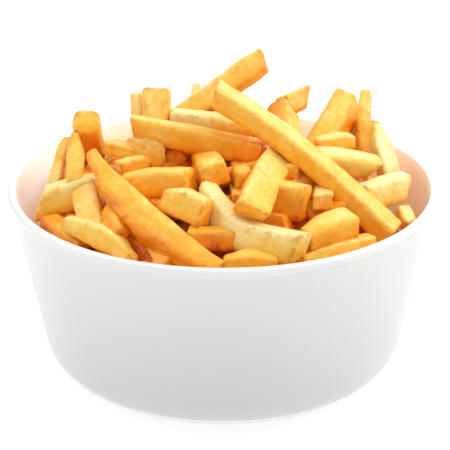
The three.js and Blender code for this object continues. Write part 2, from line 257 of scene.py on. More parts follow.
class Shop:
    """The workshop of one material: its node tree and what is made in it."""

    def __init__(self, name: str) -> None:
        """Start an empty material.

        Args:
            name: The material's name.
        """
        self.material = bpy.data.materials.new(name)
        self.material.use_nodes = True
        self.tree = self.material.node_tree
        self.tree.nodes.clear()

    def node(self, kind: str, inputs: Inputs | None = None, **settings: object) -> Node:
        """Add a node, set it up, and fill or link its sockets.

        Args:
            kind: The node's type.
            inputs: Values or links of its sockets, by name or number.
            settings: Its own settings, which are set first.

        Returns:
            The node.
        """
        made = self.tree.nodes.new(kind)
        for name, setting in settings.items():
            setattr(made, name, setting)
        for key, given in (inputs or {}).items():
            socket = made.inputs[key]
            source = given.socket if isinstance(given, Value) else given
            if isinstance(source, NodeSocket):
                self.tree.links.new(source, socket)
            else:
                socket.default_value = (*source, 1.0) if socket.type == "RGBA" else source
        return made

    def value(
        self, kind: str, output: str | int, inputs: Inputs | None = None, **settings: object
    ) -> Value:
        """Add a node and give the number at one of its outputs."""
        return Value(self, self.node(kind, inputs, **settings).outputs[output])

    def attribute(self, name: str) -> Value:
        """Give the mesh's own number of that name."""
        return self.value("ShaderNodeAttribute", "Fac", attribute_name=name)

    def place(self) -> NodeSocket:
        """Give the position in the object's own coordinates."""
        return self.node("ShaderNodeTexCoord").outputs["Object"]

    def height(self) -> Value:
        """Give the height over the table in metres."""
        return self.value("ShaderNodeSeparateXYZ", 2, {0: self.place()})

    def _texture(self, where: Node, scale: float, detail: float) -> Value:
        """Give noise from 0 to 1 at the place that a node gives."""
        inputs = {"Vector": where.outputs[0], "Scale": scale, "Detail": detail}
        return self.value("ShaderNodeTexNoise", "Fac", inputs)

    def noise(self, size: float, detail: float = 3.0, shift: float = 0.0) -> Value:
        """Give soft noise from 0 to 1 over the object.

        Args:
            size: The size of its patches in millimetres.
            detail: How many finer layers it has.
            shift: How far it is moved, so that two noises differ.

        Returns:
            The noise.
        """
        inputs = {"Vector": self.place(), "Location": (shift, shift, shift)}
        where = self.node("ShaderNodeMapping", inputs)
        return self._texture(where, 1.0 / (size * MM), detail)

    def fibre(self, thick: float, stretch: float) -> Value:
        """Give noise from 0 to 1 in streaks that run along each fry.

        Args:
            thick: The thickness of a streak in millimetres.
            stretch: How many times longer a streak is than thick.

        Returns:
            The noise.
        """
        run, side, rise = (self.attribute(label) for label in ("run", "side", "rise"))
        where = self.node("ShaderNodeCombineXYZ", {0: run * (1.0 / stretch), 1: side, 2: rise})
        return self._texture(where, 1.0 / thick, 2.0)

    def ramp(self, value: Value, stops: Sequence[tuple[float, Triple]]) -> NodeSocket:
        """Give the colour that a ramp has at a value.

        Args:
            value: The place on the ramp.
            stops: The ramp's places and their colours.

        Returns:
            The colour's socket.
        """
        made = self.node("ShaderNodeValToRGB", {"Fac": value})
        elements = made.color_ramp.elements
        while len(elements) < len(stops):
            elements.new(1.0)
        for element, (place, colour) in zip(elements, stops):
            element.position = place
            element.color = (*colour, 1.0)
        return made.outputs["Color"]

    def mix(self, share: Value, first: Input, second: Input) -> NodeSocket:
        """Give the colour between two, of which the share is the second's."""
        inputs = {0: share, 6: first, 7: second}
        return self.node("ShaderNodeMix", inputs, data_type="RGBA").outputs[2]

    def bump(self, height: Value, depth: float) -> NodeSocket:
        """Give the normal of a surface raised by a height, of which 1 is depth millimetres."""
        inputs = {"Height": height, "Distance": depth * MM}
        return self.node("ShaderNodeBump", inputs).outputs["Normal"]

    def finish(self, inputs: Inputs) -> Material:
        """End the material with its shader.

        Args:
            inputs: Values or links of the shader's sockets.

        Returns:
            The material.
        """
        shader = self.node("ShaderNodeBsdfPrincipled", inputs)
        self.node("ShaderNodeOutputMaterial", {"Surface": shader.outputs[0]})
        return self.material


# ------ finishes


@dataclass(frozen=True)
class Glaze:
    """White glaze over stoneware so slight that it lets a little light through.

    The outside is painted darker towards the foot, a painted shade. The inside wall is
    painted brighter than the outside, and to the left, where light falls on it, it is
    painted as glowing, warmer where the food stands close. The point value "inside" is 1
    on the inside wall, and a second point value is 1 where that painted light is full.
    """

    white: Triple = (0.785, 0.795, 0.785)
    painted_foot_shade: Triple = (0.635, 0.64, 0.635)  # painted shade: its colour towards the foot
    painted_shade_height: float = 80.0  # height over which that painted shade eases out, in millimetres
    inner: Triple = (0.97, 0.975, 0.87)  # inside wall's colour, painted brighter for the light that falls there
    painted_glow: Triple = (0.12, 0.17, 0.18)  # painted glow where light falls on that wall
    painted_warm_glow: Triple = (0.08, 0.045, 0.0)  # the same painted glow, warm, where the food stands close
    roughness: float = 0.2  # at the least
    cloudy: Pair = (0.12, 0.08)  # how much soft patches shift the painted foot shade and change its roughness
    dimpled: float = 0.03  # depth of its dimples in millimetres

    def material(self) -> Material:
        """Make the finish.

        Returns:
            The material.
        """
        shop = Shop("white_glaze")
        cloud = shop.noise(28.0, detail=2.0)
        # painted shade: the outside is darker towards the foot
        painted_shade_fall = 1.0 - shop.height() * (1.0 / (self.painted_shade_height * MM))
        low = painted_shade_fall + self.cloudy[0] * (cloud - 0.5)
        outer = shop.mix(low.step(0.0, 1.1), self.white, self.painted_foot_shade)
        # painted light: the inside wall is brighter, and glows where light falls on it
        inside = shop.attribute("inside")
        light = shop.mix(shop.attribute("painted_glow_share"), self.painted_warm_glow, self.painted_glow)
        pits = shop.noise(1.1, detail=1.0, shift=3.0)
        dimples = shop.noise(9.0, detail=1.0, shift=7.0)
        inputs = {
            "Base Color": shop.mix(inside, outer, self.inner),
            "Roughness": self.roughness + self.cloudy[1] * cloud,
            "Emission Color": shop.mix(inside, BLACK, light),
            "Emission Strength": 1.0,
            "Subsurface Weight": 0.5,
            "Subsurface Radius": (1.0, 0.97, 0.92),
            "Subsurface Scale": 5.0 * MM,
            "Coat Weight": 0.25,
            "Coat Roughness": 0.08,
            "Normal": shop.bump(pits * 0.3 + dimples, self.dimpled),
        }
        return shop.finish(inputs)


@dataclass(frozen=True)
class FriedPotato:
    """Potato fried in oil: pale where it is thick and moist, browned where it is slender.

    The point value "tone" says how far a fry is fried, "edge" is 1 on its long edges,
    "tip" is 1 on its cut ends, "rim" is 1 round them and "top" is 1 on its upper face.
    "run", "side" and "rise" are the place in the fry in millimetres: along it, across it
    and up. It is painted paler up its section and paler still on its upper face, a
    painted highlight, and darker lower down, a painted shade.
    """

    stops: tuple[tuple[float, Triple], ...] = (  # colours from barely to darkly fried
        (0.0, (1.0, 0.80, 0.35)),
        (0.25, (1.0, 0.66, 0.14)),
        (0.5, (1.0, 0.50, 0.04)),
        (0.8, (0.98, 0.33, 0.006)),
        (1.0, (0.62, 0.10, 0.001)),
    )
    crisp: Triple = (0.62, 0.27, 0.03)  # colour of edges that are fried crisp
    char: Triple = (0.40, 0.19, 0.03)  # colour of the browned specks
    oil: float = 0.15  # how much oil shines on it
    uneven: Triple = (0.55, 0.45, 0.22)  # how far patches, mottling and streaks change its tone
    sharp: float = 0.08  # how much further its edges and cut ends are fried
    painted_shade_slope: float = 0.035  # painted shade: how much paler it is per millimetre up the section
    painted_top_highlight: float = 0.14  # painted highlight: how much paler the upper face is
    crisping: Pair = (0.9, 0.4)  # how crisp the rims of its cut ends and its edges are
    specked: Pair = (0.05, 0.65)  # how browned its specks are, and how much more on edges
    relief: Triple = (0.3, 0.5, 0.25)  # heights of its grain, blisters and streaks
    rough: float = 0.22  # depth of that relief in millimetres

    def material(self) -> Material:
        """Make the finish.

        Returns:
            The material.
        """
        shop = Shop("fried_potato")
        tone, edge, tip, rim = (shop.attribute(label) for label in ("tone", "edge", "tip", "rim"))
        patches = shop.noise(9.0) - 0.5
        mottle = shop.noise(2.4, detail=4.0, shift=2.0)
        streaks = shop.fibre(0.8, 9.0)
        fried = tone + self.uneven[0] * patches + self.uneven[1] * (mottle - 0.5)
        fried = fried + self.uneven[2] * (streaks - 0.5)
        # painted shade and highlight: paler up the section and on the upper face
        fried = fried - self.painted_shade_slope * shop.attribute("rise") - self.painted_top_highlight * shop.attribute("top")
        colour = shop.ramp(fried + self.sharp * edge + self.sharp * tip, self.stops)
        worn = shop.noise(3.2, shift=14.0)
        crisped = self.crisping[0] * rim * worn.step(0.38, 0.55)
        crisped = crisped + self.crisping[1] * edge * worn.step(0.5, 0.66)
        crust = shop.mix(crisped, colour, self.crisp)
        specks = shop.noise(1.4, detail=2.0, shift=5.0).step(0.57, 0.72)
        browned = specks * (self.specked[0] + self.specked[1] * edge * patches.step(-0.05, 0.2))
        grain = shop.noise(0.55, detail=2.0, shift=8.0)
        blisters = shop.noise(1.9, detail=2.0, shift=11.0)
        height = self.relief[0] * grain + self.relief[1] * blisters + self.relief[2] * streaks
        inputs = {
            "Base Color": shop.mix(browned, crust, self.char),
            "Roughness": 0.28 + 0.3 * mottle + 0.45 * tone.step(0.85, 1.0),
            "IOR": 1.42,
            "Subsurface Weight": 0.4,
            "Subsurface Radius": (1.0, 0.6, 0.2),
            "Subsurface Scale": 1.2 * MM,
            "Coat Weight": self.oil,
            "Coat Roughness": 0.22,
            "Normal": shop.bump(height, self.rough),
        }
        return shop.finish(inputs)


@dataclass(frozen=True)
class PaleTable:
    """The plain pale surface that the bowl stands on."""

    colour: Triple = (0.25, 0.25, 0.25)
    lift: float = 0.8  # how strongly it glows

    def material(self) -> Material:
        """Make the finish."""
        return Shop("pale_table").finish(
            {
                "Base Color": self.colour,
                "Roughness": 0.9,
                "Specular IOR Level": 0.1,
                "Emission Color": WHITE,
                "Emission Strength": self.lift,
            }
        )


# ------ the bowl


@dataclass(frozen=True)
class Bowl:
    """A round bowl with a straight leaning wall, a proud lip and a foot ring."""

    rim: float = 85.0  # outside radius of the lip
    height: float = 76.0  # table to the top of the lip
    toe: float = 69.0  # radius at which the wall, carried down, meets the table
    corner: float = 17.0  # radius of the round between wall and foot
    wall: float = 2.8  # thickness of the wall
    floor: float = 5.0  # inside floor above the table
    inner_corner: float = 16.0  # radius of the round between wall and inside floor
    proud: float = 0.5  # how far the lip stands out from the wall
    deep: float = 3.4  # height of the lip
    lip_round: float = 1.1  # rounding of the lip's upper edges
    foot: float = 5.0  # width of the ring that stands on the table
    hollow: float = 1.6  # recess inside that ring
    sides: int = 192  # faces round the bowl

    CORNER_RINGS = (18, 16)  # rings round the outer and the inner corner
    FLAT_RINGS = 12  # rings across the recess and across the floor
    WALL_RINGS = 26  # rings up either side of the wall
    PAINTED_GLOW_SIDE = (45.0, 28.0)  # where the painted glow inside starts to the left, and its ease
    PAINTED_GLOW_HEIGHT = (55.0, 12.0)  # where that painted glow starts above the table, and its ease

    @property
    def slope(self) -> float:
        """Give the outward run of the wall for each millimetre of rise."""
        return (self.rim - self.proud - self.toe) / self.height

    @property
    def lean(self) -> float:
        """Give the angle of the wall from upright."""
        return math.atan(self.slope)

    def outside(self, z: Number) -> Number:
        """Give the wall's outside radius at a height."""
        return self.toe + self.slope * z

    def inside(self, z: Number) -> Number:
        """Give the wall's inside radius at a height."""
        return self.outside(z) - self.wall / math.cos(self.lean)

    def corner_arc(self, toe: float, floor: float, radius: float, steps: int) -> Array:
        """Give the arc that rounds the meeting of a flat floor and the leaning wall.

        A point of it lies at middle + radius sin(a), floor + radius (1 - cos(a)), with a
        from 0 to the quarter turn less the wall's lean.

        Args:
            toe: Radius at which wall and floor would meet.
            floor: Height of the floor.
            radius: Radius of the arc.
            steps: How many straight lengths it has.

        Returns:
            Radius and height of each point, floor end first.
        """
        sweep = math.pi / 2.0 - self.lean
        middle = toe - radius * math.tan(sweep / 2.0)
        a = np.linspace(0.0, sweep, steps + 1)
        return side_by_side(middle + radius * np.sin(a), floor + radius * (1.0 - np.cos(a)))

    @staticmethod
    def lip_arc(middle: Pair, radius: float, first: float, last: float) -> Array:
        """Give points on an arc about a middle, between two angles in degrees."""
        a = np.radians(np.linspace(first, last, 9))
        return side_by_side(middle[0] + radius * np.cos(a), middle[1] + radius * np.sin(a))

    def profile(self) -> Array:
        """Give the outline from the foot's middle over the lip to the floor's middle.

        Straight stretches are split evenly, so that the turned faces stay compact.

        Returns:
            Radius and height of each point.
        """
        under, over = self.CORNER_RINGS
        outer = self.corner_arc(self.toe, 0.0, self.corner, under)
        inner = self.corner_arc(self.inside(self.floor), self.floor, self.inner_corner, over)
        foot = outer[0, 0] - self.foot
        recess = foot - self.hollow
        r, top = self.lip_round, self.height
        swell = np.linspace(0.0, 1.0, 7)
        step_z = top - self.deep - self.proud + 2.0 * self.proud * swell
        step_r = self.outside(step_z) + self.proud * ease(swell)
        wall_z = np.linspace(outer[-1, 1], step_z[0], self.WALL_RINGS)[1:-1]
        inner_z = np.linspace(top - 1.6 * r, inner[-1, 1], self.WALL_RINGS)[:-1]
        rise_z = np.linspace(step_z[-1], top - r, 4)[1:-1]
        rise_r = np.interp(rise_z, [step_z[-1], top - r], [step_r[-1], self.rim])
        stretches = [
            side_by_side(np.linspace(0.0, recess, self.FLAT_RINGS), self.hollow),
            self.lip_arc((recess, 0.0), self.hollow, 80.0, 10.0),
            side_by_side([foot + 0.3, foot + self.foot * 0.5], 0.0),
            outer,
            side_by_side(self.outside(wall_z), wall_z),
            side_by_side(step_r, step_z),
            side_by_side(rise_r, rise_z),
            self.lip_arc((self.rim - r, top - r), r, 0.0, 90.0),
            self.lip_arc((self.inside(top) + r, top - r), r, 90.0, 178.0),
            side_by_side(self.inside(inner_z), inner_z),
            inner[::-1],
            side_by_side(np.linspace(inner[0, 0], 0.0, self.FLAT_RINGS)[1:], self.floor),
        ]
        return np.concatenate(stretches)

    @staticmethod
    def turned(profile: Array, sides: int) -> Array:
        """Turn a profile about the Z axis: (r cos a, r sin a, z) for a round the circle.

        Args:
            profile: Radius and height of each point.
            sides: Columns of the grid.

        Returns:
            Positions by row, column and coordinate.
        """
        a = np.arange(sides) * 2.0 * math.pi / sides
        r, z = profile[:, :1], profile[:, 1:]
        return side_by_side(r * np.cos(a), r * np.sin(a), z)

    def build(self) -> None:
        """Make the glazed bowl in place of its plain solid.

        The point value "inside" eases in from 0.7 of the wall's thickness inwards and from
        just under the floor upwards. The share of painted light on the inside wall is the
        part of it far enough to the left and high enough.
        """
        rings = self.turned(self.profile(), self.sides)
        x, y, z = np.moveaxis(rings, -1, 0)
        inward = self.outside(z) - 0.7 * self.wall - np.hypot(x, y)
        inside = ease(inward) * ease((z - self.floor + 1.0) / 0.5)
        # painted light: its glow on the inside wall, to the left and high up
        leftward = ease((-self.PAINTED_GLOW_SIDE[0] - x) / self.PAINTED_GLOW_SIDE[1])
        upward = ease((z - self.PAINTED_GLOW_HEIGHT[0]) / self.PAINTED_GLOW_HEIGHT[1])
        surface = Surface.closed(rings, {"inside": inside, "painted_glow_share": inside * leftward * upward})
        piece = surface.piece("glazed_bowl", Glaze().material(), "bowl_glaze")
        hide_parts("bowl")


# ------ a fry


class Make(Enum):
    """How finely a fry is made: millimetres between its rings, and points round one."""

    FINE = (1.5, 40)
    PLAIN = (2.3, 28)


@dataclass(frozen=True)
class Fry:
    """One fry: where its ends lie, and what its section does between them."""

    start: Triple  # middle of its first end
    end: Triple  # middle of its last end
    wide: float
    deep: float
    tone: float = 0.4  # how far it is fried, from 0 to 1
    roll: float = 0.0  # turn about the fry's length, in degrees
    ends: Pair = (1.0, 1.0)  # share of the section that is left at each end
    bow: Pair = (0.0, 0.0)  # how far its middle is pushed sideways and up
    end_browning_and_shade: float = 0.0  # how much further its last end is fried, on some fries a painted shade on that end
    slants: tuple[Pair, Pair] | None = None  # slope of each cut end across and up, or by chance
    firm: float = 4.8  # how square its section is

    TAPER = 0.45  # share of the length over which an end narrows
    SKEW = 0.35  # steepest slant of a cut end that is drawn by chance
    ARRIS = 1.1  # rounding of the cut ends' edges
    ARRIS_TURNS = (0.0, 22.0, 45.0, 68.0, 90.0)  # degrees round it, by ring
    FACE = (0.0, 0.3, 0.6)  # rings on a cut end, as shares of its edge
    FEWEST = 8  # rings along the shortest body
    FIRMNESS = (0.85, 0.5)  # least squareness, and how much more at most
    SUNKEN = (0.05, 0.04)  # how far its faces sink, and how much they differ
    WEDGE = 0.09  # how much wider one face may be than the other
    SHEAR = 0.07  # how far it may lean to one side
    TWIST = 0.14  # most turn of the section from end to end, in radians
    SWELL = 0.03  # how much it swells and narrows along the fry
    SWAY = 0.012  # share of the length by which its middle wanders
    SKIN = ((0.13, 14.0, 0), (0.06, 4.2, 500))  # height, wavelength and seed of its waves
    RAGGED = (0.12, 3.6, 900)  # the same of the cut ends' waves
    BLEND = 0.06  # how much further one end is fried by chance
    APART = 40.0  # run from one fry's streaks to the next one's
    UPPER = (0.65, 0.25)  # where the painted highlight of the upper face starts up the section, and its ease

    @property
    def length(self) -> float:
        """Give the distance between the two ends."""
        return math.dist(self.start, self.end)

    def directions(self) -> tuple[Array, ...]:
        """Give the unit directions along, level, upright, across and up.

        Level is square to the fry and to the Z axis, upright is square to both, and across
        and up are those two turned by the roll.

        Returns:
            The five directions.
        """
        along = np.subtract(self.end, self.start) / self.length
        level = np.cross(along, (0.0, 0.0, 1.0))
        level /= np.linalg.norm(level)
        upright = np.cross(level, along)
        c, s = math.cos(math.radians(self.roll)), math.sin(math.radians(self.roll))
        return along, level, upright, c * level + s * upright, c * upright - s * level

    def stations(self, spacing: float) -> Array:
        """Give the rings from one end's middle to the other's.

        On an end face the rings grow from nothing; round its edge they follow a quarter
        circle; along the body they are evenly spaced.

        Args:
            spacing: Distance between the body's rings.

        Returns:
            Four rows: each ring's share of the length, its share of the section's size,
            how near it is to a cut end, and how near it is to that end's edge.
        """
        rounding = self.ARRIS / self.length
        turn = np.radians(self.ARRIS_TURNS)
        face = np.array(self.FACE)
        edge = 1.0 - self.ARRIS / (min(self.wide, self.deep) / 2.0) * (1.0 - np.sin(turn))
        count = max(self.FEWEST, int(self.length / spacing))
        body = np.linspace(rounding, 1.0 - rounding, count + 2)[1:-1]
        first = np.concatenate([0.0 * face, rounding * (1.0 - np.cos(turn))])
        grown = np.concatenate([face * edge[0], edge])
        t = np.concatenate([first, body, 1.0 - first[::-1]])
        size = np.concatenate([grown, np.ones(count), grown[::-1]])
        reach = np.minimum(t, 1.0 - t) * self.length
        rim = np.exp(-((reach / 0.8) ** 2)) * ease((size - 0.72) / 0.2)
        return np.stack([t, size, np.exp(-reach / 2.5), rim])

    def section(self, columns: int, number: int) -> tuple[Array, Array, Array]:
        """Give the section's outline and how sharp it is at each point.

        It is the curve |p|^n + |q|^n = 1 with sunken faces, leaning a little to one side
        and wider at one face than at the other.

        Args:
            columns: Points round the section.
            number: The fry's number.

        Returns:
            The outline's two coordinates, from -1 to 1, and 1 at its corners.
        """
        a = (np.arange(columns) + 0.5) * 2.0 * math.pi / columns
        n = self.firm * (self.FIRMNESS[0] + self.FIRMNESS[1] * chance(number, 11))
        radius = (np.abs(np.cos(a)) ** n + np.abs(np.sin(a)) ** n) ** (-1.0 / n)
        sideways, upwards, wedge, shear = swings(number, range(12, 16))
        uneven = sideways * np.cos(a) + upwards * np.sin(a)
        sunken = self.SUNKEN[0] + self.SUNKEN[1] * uneven
        radius = radius * (1.0 - sunken * np.cos(2.0 * a) ** 2)
        p, q = radius * np.cos(a), radius * np.sin(a)
        leaned = p * (1.0 + self.WEDGE * wedge * q) + self.SHEAR * shear * q
        return leaned, q, np.sin(2.0 * a) ** 4

    def surface(self, number: int, make: Make) -> Surface:
        """Work out the fry's surface.

        A ring's middle runs from start to end, pushed by four times t (1 - t) of the bow
        and by slow waves. The section is narrowed towards both ends, twisted a little and
        laid across the ring's middle; near a cut end its points are slid along the fry by
        the slant. Waves of two sizes raise and sink the skin.

        Args:
            number: The fry's number, which seeds its draws.
            make: How finely it is made.

        Returns:
            The closed surface with the values that its finish reads.
        """
        spacing, columns = make.value
        along, level, upright, across, up = self.directions()
        t, size, tip, rim = self.stations(spacing)[..., None]
        p, q, sharp = self.section(columns, number)
        lift, pace, phase, drift, sideways = swings(number, range(16, 21))

        twist = self.TWIST * lift * (t - 0.5)
        turned_p = p * np.cos(twist) - q * np.sin(twist)
        turned_q = p * np.sin(twist) + q * np.cos(twist)
        left = self.ends[0] + (1.0 - self.ends[0]) * ease(t / self.TAPER)
        right = self.ends[1] + (1.0 - self.ends[1]) * ease((1.0 - t) / self.TAPER)
        swell = 1.0 + self.SWELL * np.sin(6.0 * t * (1.0 + 0.4 * pace) + 6.0 * phase)
        width = size * left * right * swell
        p = -turned_p * width * self.wide / 2.0
        q = turned_q * width * self.deep / 2.0
        outward = p[..., None] * across + q[..., None] * up

        bend = 4.0 * t * (1.0 - t)
        sway = self.SWAY * self.length * np.sin(math.pi * t) * np.sin(5.0 * t + 3.0 * drift)
        middle = (
            np.asarray(self.start)
            + (t * self.length)[..., None] * along
            + (bend * self.bow[0] + sway * sideways)[..., None] * level
            + (bend * self.bow[1] + sway * lift)[..., None] * upright
        )
        first, last = self.slants or [(self.SKEW * swing, 0.0) for swing in swings(number, (7, 8))]
        cut = (1.0 - t) ** 4 * (first[0] * p + first[1] * q)
        cut = cut + t**4 * (last[0] * p + last[1] * q)
        rings = middle + outward + cut[..., None] * along

        reach = np.linalg.norm(outward, axis=-1, keepdims=True) + 1e-6
        skin = sum(high * ripple(rings, number + seed, wave) for high, wave, seed in self.SKIN)
        rings = rings + outward / reach * np.minimum(1.0, reach / 2.0) * skin[..., None]
        high, wave, seed = self.RAGGED
        ragged = high * ripple(rings, number + seed, wave) * tip**3
        rings = rings + ragged[..., None] * along

        # the upper face, which the finish paints paler as a highlight
        height = (self.deep * abs(up[2]) + self.wide * abs(across[2])) / 2.0
        upper = ease((outward[..., 2] / height - self.UPPER[0]) / self.UPPER[1])
        values = {
            "tone": self.tone + self.end_browning_and_shade * ease(t) + self.BLEND * pace * (2.0 * t - 1.0),
            "edge": sharp,
            "tip": tip,
            "rim": rim,
            "top": upper * (1.0 - along[2] ** 2),
            "run": t * self.length + self.APART * number,
            "side": p,
            "rise": q,
        }
        return Surface.closed(rings, values)


# ------ the heap


@dataclass(frozen=True)
class Form:
    """The form of the heap's top."""

    bowl: Bowl
    crown: float = 24.0  # middle of the heap above the lip
    radius: float = 80.0  # where the crown runs out
    back_reach: float = 60.0  # distance behind the middle where the back slope is full
    back_flatter: float = 0.35  # share of the crown that the back slope loses
    back_drop: float = 6.0  # how much lower it lies towards the back wall
    side_start: float = 52.0  # distance to the left or right where the sides fall away
    side_reach: float = 26.0  # how far the fall reaches
    side_drop: float = 13.0  # how far the sides fall

    def top(self, x: Number, y: Number) -> Array:
        """Give the height of the heap's top over a point.

        It is the lip's height and a crown that falls with the square of the radius, less
        a slope towards the back and an eased fall at the left and the right.

        Args:
            x: Distance to the right.
            y: Distance to the back.

        Returns:
            The height.
        """
        back = np.clip(np.divide(y, self.back_reach), 0.0, 1.0)
        share = 1.0 - (np.hypot(x, y) / self.radius) ** 2
        crown = self.crown * share * (1.0 - self.back_flatter * back)
        side = self.side_drop * ease((np.abs(x) - self.side_start) / self.side_reach)
        return self.bowl.height + crown - self.back_drop * back - side


@dataclass(frozen=True)
class Layer:
    """Fries laid by rule on a sunflower spiral, each turned and tilted by chance."""

    places: int
    below: float  # how far under the heap's top the fries lie
    turn: int  # turn of the spiral, and seed of the draws
    reach: float  # radius of the spiral
    behind: float = -100.0  # only places further back than this are used
    beyond: float = 0.0  # only places further out than this are used
    tone: Pair = (0.3, 0.4)  # how far they are fried, and how much more at most

    LENGTH = (45.0, 30.0)  # a fry's length at the least, and how much more at most
    WIDTH = (7.5, 2.5)
    DEPTH = (7.5, 2.0)
    ENDS = (0.9, 0.9)
    TILT = 0.5  # widest swing of its tilt, in radians
    TRIM = 2.0  # step by which an end that doesn't fit is drawn in
    RISE = 2.5  # how far an end may rise over the layer
    CLEAR = 6.0  # least room between an end and the wall
    SHORTEST = 18.0
    SEEDS = 31  # step from one layer's seeds to the next one's

    def _end(self, form: Form, middle: Array, way: Array, half: float) -> Array:
        """Give an end of a fry, drawn in step by step until it fits.

        It fits when it clears the wall and doesn't rise over the layer.

        Args:
            form: The heap's form.
            middle: The fry's middle.
            way: The direction of the end from there.
            half: Half the fry's length.

        Returns:
            The end, or the middle if there is no room.
        """
        while half > self.TRIM:
            end = middle + way * half
            wall = form.bowl.inside(min(end[2], form.bowl.height)) - self.CLEAR
            roof = float(form.top(end[0], end[1])) - self.below + self.RISE
            if math.hypot(end[0], end[1]) < wall and end[2] < roof:
                return end
            half -= self.TRIM
        return middle

    def fries(self, form: Form) -> list[Fry]:
        """Lay the layer: place i lies at i golden angles and at the square root of its share.

        Args:
            form: The heap's form.

        Returns:
            The fries that have room.
        """
        laid = []
        for i in range(self.places):
            r = self.reach * math.sqrt((i + 0.5) / self.places)
            angle = i * GOLDEN_ANGLE + self.turn
            x, y = r * math.cos(angle), r * math.sin(angle)
            if y <= self.behind or math.hypot(x, y) <= self.beyond:
                continue
            seed = i + self.SEEDS * self.turn
            heading, tilt, longer, wider, deeper, roll, fried = (
                chance(seed, kind) for kind in (1, 2, 3, 4, 5, 6, 9)
            )
            heading, tilt = math.pi * heading, self.TILT * (tilt - 0.5)
            level = math.cos(tilt)
            way = np.array([math.cos(heading) * level, math.sin(heading) * level, math.sin(tilt)])
            middle = np.array([x, y, float(form.top(x, y)) - self.below])
            half = (self.LENGTH[0] + self.LENGTH[1] * longer) / 2.0
            start, end = (self._end(form, middle, side * way, half) for side in (-1.0, 1.0))
            if math.dist(start, end) < self.SHORTEST:
                continue
            width = self.WIDTH[0] + self.WIDTH[1] * wider
            depth = self.DEPTH[0] + self.DEPTH[1] * deeper
            tone = self.tone[0] + self.tone[1] * fried
            laid.append(Fry(start, end, width, depth, tone, 90.0 * roll, self.ENDS))
        return laid


# The fries that lie on top. Their numbers stand in the order of Fry's fields: start, end,
# wide, deep, tone, roll, ends, bow, extra tone of the last end, slants, firm. Some tones
# are set as painted light and shade.

SQUARE = ((0.0, 0.0), (0.0, 0.0))

LONG_FRIES = (
    Fry((-50, -22, 95.8), (-1, -74, 70.5), 12, 13, 0.6, 68, (0.42, 0.6), (5, -2)),
    Fry((-3, -10, 116.7), (64, -38, 69), 11, 9, 0.46, 3, (1, 1.2), (-1.5, 2.4), 0.03,
        ((0.3, -0.4), (0, 0))),
    Fry((-35, -9, 102.4), (15, -13, 93), 8, 10.5, 0.55, 5, (0.88, 1), (0, 0), 0.12,
        ((0, -0.45), (0, 0))),
    Fry((24, -3, 92), (10, -62, 88.5), 12, 9, 0.36, 38, (0.95, 1.1), (0, 1), 0.1,
        ((0, 0), (0.45, 0.6))),
    Fry((-7, -37, 87), (28.5, -68.5, 77.2), 10, 12.5, 0.02, 10, (0.8, 1), (6.5, -2.5), 0.15,
        SQUARE),
    Fry((-20, 6, 98.5), (16.5, 13.8, 122.2), 10, 9.5, 0.4, 35, (0.9, 1), (0, 0), -0.1,
        ((0, 0), (0, 0.3))),
)

MIDDLE_FRIES = (
    # painted light and shade: pale at its first end against the shade it lies in, darker at its
    # last end where the long fry above shades it
    Fry((-21, 2, 101), (10.5, -6, 96), 8, 10.5, -0.05, 0, (0.85, 0.95), (0, 2), 0.65),
    Fry((-26.3, 11, 111), (-26.3, -1, 90), 11, 8, 0.5, slants=SQUARE),
    Fry((-34.5, 16, 107.5), (-33.5, 4, 87.5), 4.5, 6, 0.15),
    Fry((-11, 24, 108.5), (-12, 8, 90.5), 3.5, 6, 0.15),
    Fry((-28.5, -14, 93.8), (-28.5, 18, 88), 13.5, 12, 0.35, slants=SQUARE),
    Fry((-38, -30, 85.5), (-12, -38, 91), 10, 10.5, 0.55, 10, bow=(0, 1)),
    Fry((-21, -46, 87), (-6, -55, 85.2), 9, 11, 0.38, 15, (0.8, 1), (0, 1)),
    # painted shade: fried darker for the shade that falls on its upper face
    Fry((-3, -38, 93.5), (-7.5, -8, 89.5), 11, 9, 0.58, 10),
    Fry((8, -36, 91), (5, -6, 86), 7, 7, 0.55),
    Fry((6.5, -44, 86), (5, -20, 82), 6, 6, 0.65),
    Fry((17, -36, 85), (31, -42, 83.7), 10, 14, 0.6, 12),
    Fry((24, -28, 90), (30, 0, 86), 10, 8, 0.65),
)

LEFT_FRIES = (
    Fry((-46, -8, 93.8), (-34, -13, 93.5), 6, 5.5, 0.5, 0, (0.9, 0.7), (0, 0.5)),
    Fry((-40.5, -18, 89.2), (-30, -14, 90.5), 7, 5.5, ends=(0.8, 1)),
    Fry((-48, -50, 75.5), (-52.5, -26, 82), 10, 9, 0.44, 20, (0.9, 1)),
    Fry((-71, -22, 75.3), (-47, -23, 82), 9, 12, 0.32, bow=(0, 1), slants=((0, 0.7), (0, 0))),
    Fry((-53.5, -2, 102), (-52.5, 14, 83), 11, 11.5, 0.42, end_browning_and_shade=0.3, slants=SQUARE, firm=2.8),
    Fry((-57.5, -4, 97.7), (-57, -23, 83), 7, 7, 0.58, 10, (0.5, 1)),
    Fry((-61, 6, 92.5), (-64, -2, 84), 5, 5.5, 0.5, 0, (0.6, 0.9)),
    Fry((-63.8, -3, 86), (-66.3, -16, 77.5), 5, 6, 0.35, 0, (0.8, 1)),
)

